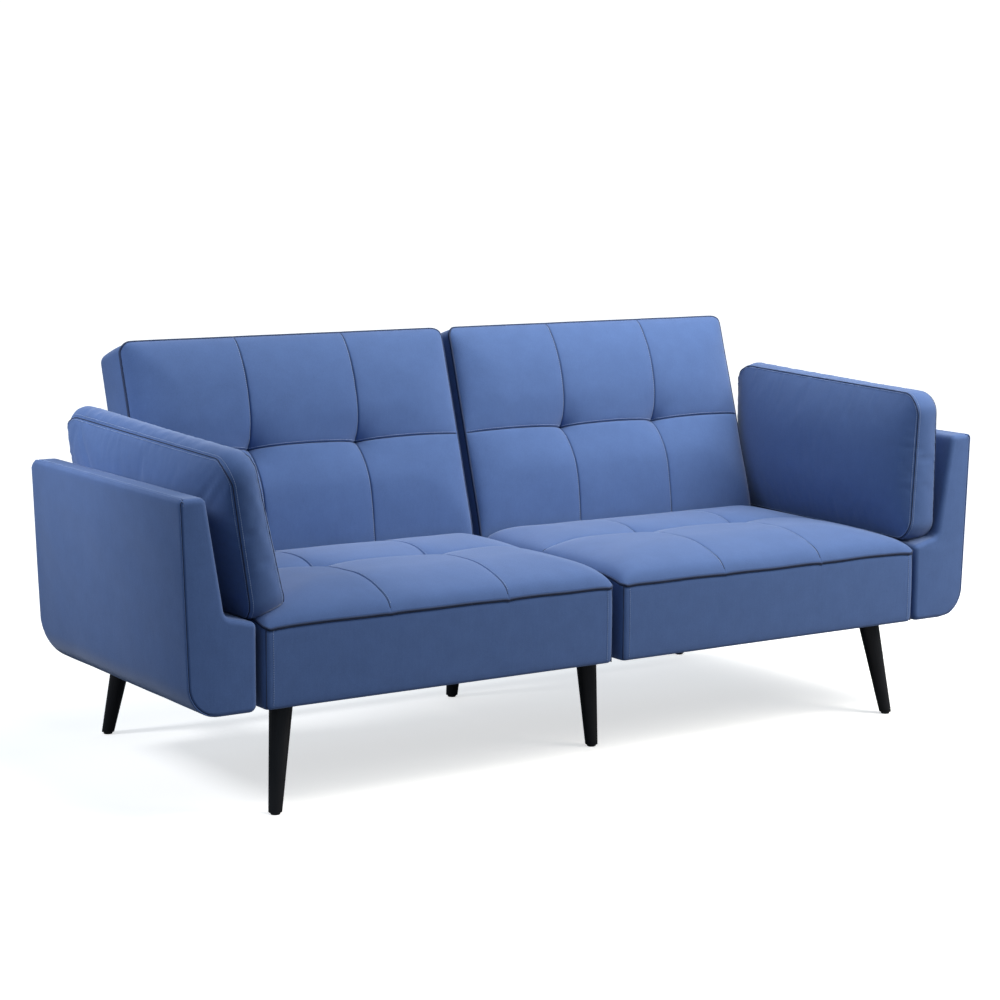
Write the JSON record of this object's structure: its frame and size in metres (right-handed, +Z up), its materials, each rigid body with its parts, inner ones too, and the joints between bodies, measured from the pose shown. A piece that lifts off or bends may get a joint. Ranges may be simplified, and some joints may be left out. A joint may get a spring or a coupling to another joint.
{
  "type": "futon sofa bed",
  "caption": "Click-clack sofa bed in blue fabric: two seat boxes, two backs that fold flat, low fixed arms, loose arm pillows and splayed tapered legs.",
  "frame": {"origin": "on the floor, under the centre of the sofa's overall box", "axes": "+X along the sofa to the viewer's right when facing its front, +Y from the front to the rear, +Z up"},
  "size_m": [2.0594, 0.846, 0.8915],
  "materials": {
    "upholstery": "smooth blue suede-like polyester with a soft sheen, dark seams and tonal topstitching",
    "pillow_fabric": "the same blue suede-like polyester, softer and slightly wrinkled",
    "black_wood": "satin black paint on turned wood",
    "black_plastic": "matt black",
    "black_steel": "satin black powder coat",
    "zinc_steel": "bright zinc plate",
    "plywood": "raw plywood and pine board",
    "dust_cloth": "black non-woven cloth"
  },
  "bodies": {
    "base": {"arm_bolt_left_front": "zinc_steel", "arm_bolt_left_rear": "zinc_steel", "arm_bolt_right_front": "zinc_steel", "arm_bolt_right_rear": "zinc_steel", "arm_left": "upholstery", "arm_right": "upholstery", "dust_cover_left": "dust_cloth", "dust_cover_right": "dust_cloth", "frame_centre_rail": "black_steel", "frame_front_rail": "black_steel", "frame_rear_rail": "black_steel", "frame_side_rail_left": "black_steel", "frame_side_rail_right": "black_steel", "glide_front_left": "black_plastic", "glide_front_middle": "black_plastic", "glide_front_right": "black_plastic", "glide_rear_left": "black_plastic", "glide_rear_middle": "black_plastic", "glide_rear_right": "black_plastic", "hinge_pin_left_inner": "zinc_steel", "hinge_pin_left_outer": "zinc_steel", "hinge_pin_right_inner": "zinc_steel", "hinge_pin_right_outer": "zinc_steel", "hinge_plate_centre": "black_steel", "hinge_plate_left": "black_steel", "hinge_plate_right": "black_steel", "leg_front_left": "black_wood", "leg_front_middle": "black_wood", "leg_front_right": "black_wood", "leg_plate_front_left": "zinc_steel", "leg_plate_front_middle": "zinc_steel", "leg_plate_front_right": "zinc_steel", "leg_plate_rear_left": "zinc_steel", "leg_plate_rear_middle": "zinc_steel", "leg_plate_rear_right": "zinc_steel", "leg_rear_left": "black_wood", "leg_rear_middle": "black_wood", "leg_rear_right": "black_wood", "seat_box_left": "plywood", "seat_box_right": "plywood", "seat_cushion_left": "upholstery", "seat_cushion_right": "upholstery", "seat_spring_left_1": "zinc_steel", "seat_spring_left_2": "zinc_steel", "seat_spring_left_3": "zinc_steel", "seat_spring_right_1": "zinc_steel", "seat_spring_right_2": "zinc_steel", "seat_spring_right_3": "zinc_steel"},
    "back_left": {"back_board_left": "plywood", "back_bracket_left_inner": "black_steel", "back_bracket_left_outer": "black_steel", "back_cover_left": "upholstery", "back_cushion_left": "upholstery"},
    "back_right": {"back_board_right": "plywood", "back_bracket_right_inner": "black_steel", "back_bracket_right_outer": "black_steel", "back_cover_right": "upholstery", "back_cushion_right": "upholstery"},
    "pillow_left": {"arm_pillow_left": "pillow_fabric"},
    "pillow_right": {"arm_pillow_right": "pillow_fabric"}
  },
  "joints": [
    {"name": "back_left_fold", "type": "hinge", "parent": "base", "child": "back_left", "pos_m": [0, 0.2117, 0.32], "axis": [-1, 0, 0], "range_deg": [-4, 72.5]},
    {"name": "back_right_fold", "type": "hinge", "parent": "base", "child": "back_right", "pos_m": [0, 0.2117, 0.32], "axis": [-1, 0, 0], "range_deg": [-4, 72.5]},
    {"name": "pillow_left_lift", "type": "slide", "parent": "base", "child": "pillow_left", "axis": [0, 0, 1], "range_m": [0, 0.3]},
    {"name": "pillow_right_lift", "type": "slide", "parent": "base", "child": "pillow_right", "axis": [0, 0, 1], "range_m": [0, 0.3]}
  ]
}
